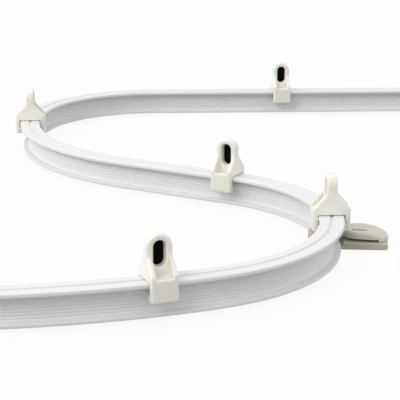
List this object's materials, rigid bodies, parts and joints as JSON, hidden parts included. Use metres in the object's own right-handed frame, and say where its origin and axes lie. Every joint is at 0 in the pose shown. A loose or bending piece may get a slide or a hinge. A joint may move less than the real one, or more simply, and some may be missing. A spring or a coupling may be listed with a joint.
{
  "type": "curtain track",
  "caption": "Flexible I-section curtain track bent into an S, with hook gliders straddling its flange and a ceiling clamp with a turning lever.",
  "frame": {"origin": "centre of the clamp base's screw hole, on the flat face that meets the ceiling", "axes": "+Z away from the ceiling, from the track towards the gliders' eyes; +X along the far straight strand, towards its free end; +Y from the near strand to the far strand. As pictured the track lies with its gliders up; in use +Z points down."},
  "size_m": [0.2339, 0.3613, 0.0305],
  "materials": {
    "track_plastic": "satin",
    "glider_nylon": "satin",
    "clamp_plastic": "satin"
  },
  "bodies": {
    "track_and_clamp": {"track": "track_plastic", "clamp_base": "clamp_plastic"},
    "lever": {"clamp_lever": "clamp_plastic"},
    "glider_1": {"glider_1": "glider_nylon"},
    "glider_2": {"glider_2": "glider_nylon"},
    "glider_3": {"glider_3": "glider_nylon"},
    "glider_4": {"glider_4": "glider_nylon"},
    "glider_5": {"glider_5": "glider_nylon"}
  },
  "joints": [
    {"name": "lever_turn", "type": "hinge", "parent": "track_and_clamp", "child": "lever", "pos_m": [0.0132, 0.00018, 0], "axis": [0, 0, 1], "range_deg": [0, 75]},
    {"name": "glider_1_travel", "type": "hinge", "parent": "track_and_clamp", "child": "glider_1", "pos_m": [-0.1461, 0.18551, 0], "axis": [0, 0, 1], "range_deg": [-12.5, 2.3]},
    {"name": "glider_2_travel", "type": "hinge", "parent": "track_and_clamp", "child": "glider_2", "pos_m": [-0.07334, -0.00732, 0], "axis": [0, 0, 1], "range_deg": [-61, 50]},
    {"name": "glider_3_travel", "type": "slide", "parent": "track_and_clamp", "child": "glider_3", "axis": [-0.8545, 0.5195, 0], "range_m": [0, 0.048]},
    {"name": "glider_4_travel", "type": "hinge", "parent": "track_and_clamp", "child": "glider_4", "pos_m": [-0.02636, 0.17677, 0], "axis": [0, 0, 1], "range_deg": [-14, 50]},
    {"name": "glider_5_travel", "type": "slide", "parent": "track_and_clamp", "child": "glider_5", "axis": [1, 0, 0], "range_m": [-0.065, 0.08]}
  ]
}
